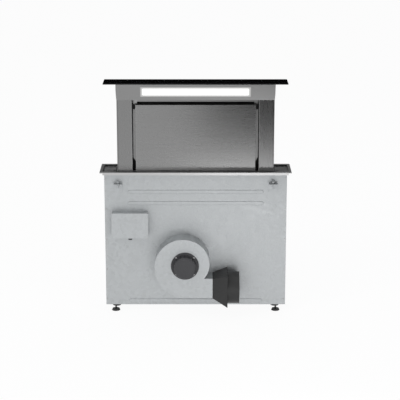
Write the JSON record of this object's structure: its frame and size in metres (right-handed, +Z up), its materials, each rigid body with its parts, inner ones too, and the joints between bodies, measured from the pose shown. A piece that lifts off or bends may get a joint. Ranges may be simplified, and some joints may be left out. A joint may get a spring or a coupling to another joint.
{
  "type": "downdraft vent",
  "caption": "Worktop downdraft vent: a lit stainless tower with a glass lid rises from its trim frame, with its housing, lift and blower below.",
  "frame": {"origin": "middle of the worktop cut-out, on the worktop's top face, which is the underside of the trim frame", "axes": "+X along the vent to the right, +Y away from the cook, +Z up; the rest pose is the raised tower"},
  "size_m": [0.9, 0.307, 1.112],
  "materials": {
    "trim_steel": "fine brushed stainless steel",
    "tower_steel": "brushed stainless steel",
    "panel_steel": "brushed stainless steel, grain along the vent",
    "floor_steel": "brushed stainless steel",
    "galvanised_steel": "galvanised sheet",
    "machined_steel": "turned steel",
    "bronze": "cast bronze",
    "aluminium": "satin aluminium",
    "black_glass": "black toughened glass with bevelled edges",
    "light_cover": "frosted white cover, lit from behind",
    "circuit_board": "white circuit board",
    "black_plastic": "moulded black plastic",
    "grey_plastic": "moulded grey plastic",
    "black_rubber": "matt black rubber",
    "motor_black": "black powder coat"
  },
  "bodies": {
    "housing": {"trim_frame": "trim_steel", "worktop_gasket": "black_rubber", "recess_lining": "black_rubber", "slot_seals": "black_rubber", "left_end_cover": "floor_steel", "right_end_cover": "floor_steel", "housing_front": "galvanised_steel", "housing_back": "galvanised_steel", "left_housing_side": "galvanised_steel", "right_housing_side": "galvanised_steel", "housing_base": "galvanised_steel", "support_feet": "black_plastic", "left_guide_rail": "aluminium", "right_guide_rail": "aluminium", "upper_bearing_blocks": "grey_plastic", "lower_bearing_blocks": "grey_plastic", "drive_belt": "black_rubber", "lift_motor": "motor_black", "limit_switches": "black_plastic", "blower_scroll": "galvanised_steel", "scroll_cover": "galvanised_steel", "inlet_ring": "aluminium", "blower_motor": "motor_black", "outlet_adapter": "black_plastic", "duct_collar": "black_plastic", "damper_pin": "machined_steel", "control_box": "galvanised_steel", "control_lid": "galvanised_steel", "cable_gland": "black_plastic", "worktop_clamps": "galvanised_steel", "casing_screws": "machined_steel"},
    "tower": {"glass_lid": "black_glass", "head_shell": "tower_steel", "light_window": "light_cover", "light_tray": "aluminium", "light_strip": "circuit_board", "touch_board": "circuit_board", "left_column": "tower_steel", "right_column": "tower_steel", "rear_panel": "tower_steel", "head_brackets": "trim_steel", "apron": "tower_steel", "filter_frame": "floor_steel", "left_grease_filter": "aluminium", "right_grease_filter": "aluminium", "panel_catches": "black_plastic", "panel_pivots": "machined_steel", "front_panel": "panel_steel", "left_lift_carrier": "galvanised_steel", "right_lift_carrier": "galvanised_steel", "screw_nuts": "bronze", "guide_shoes": "grey_plastic"},
    "left_screw": {"left_lift_screw": "machined_steel", "left_belt_pulley": "aluminium"},
    "right_screw": {"right_lift_screw": "machined_steel", "right_belt_pulley": "aluminium"},
    "fan_wheel": {"impeller": "galvanised_steel"},
    "front_flap": {"front_damper_flap": "aluminium"},
    "rear_flap": {"rear_damper_flap": "aluminium"}
  },
  "joints": [
    {"name": "tower_lift", "type": "slide", "parent": "housing", "child": "tower", "axis": [0, 0, 1], "range_m": [-0.416, 0]},
    {"name": "left_screw_turn", "type": "hinge", "parent": "housing", "child": "left_screw", "pos_m": [-0.396, 0, -0.3], "axis": [0, 0, 1], "range_deg": [-9400, 10]},
    {"name": "right_screw_turn", "type": "hinge", "parent": "housing", "child": "right_screw", "pos_m": [0.396, 0, -0.3], "axis": [0, 0, 1], "range_deg": [-9400, 10]},
    {"name": "fan_spin", "type": "hinge", "parent": "housing", "child": "fan_wheel", "pos_m": [-0.05, -0.12, -0.43], "axis": [0, 1, 0], "continuous": true},
    {"name": "front_flap_swing", "type": "hinge", "parent": "housing", "child": "front_flap", "pos_m": [0.174, -0.14, -0.54155], "axis": [0, 0, 1], "range_deg": [0, 70], "stiffness_Nm_per_rad": 0.02},
    {"name": "rear_flap_swing", "type": "hinge", "parent": "housing", "child": "rear_flap", "pos_m": [0.174, -0.14, -0.54155], "axis": [0, 0, -1], "range_deg": [0, 70], "stiffness_Nm_per_rad": 0.02}
  ],
  "couplings": [
    {"joint": "left_screw_turn", "follows": "tower_lift", "rad_per_m": 392.7},
    {"joint": "right_screw_turn", "follows": "tower_lift", "rad_per_m": 392.7}
  ]
}
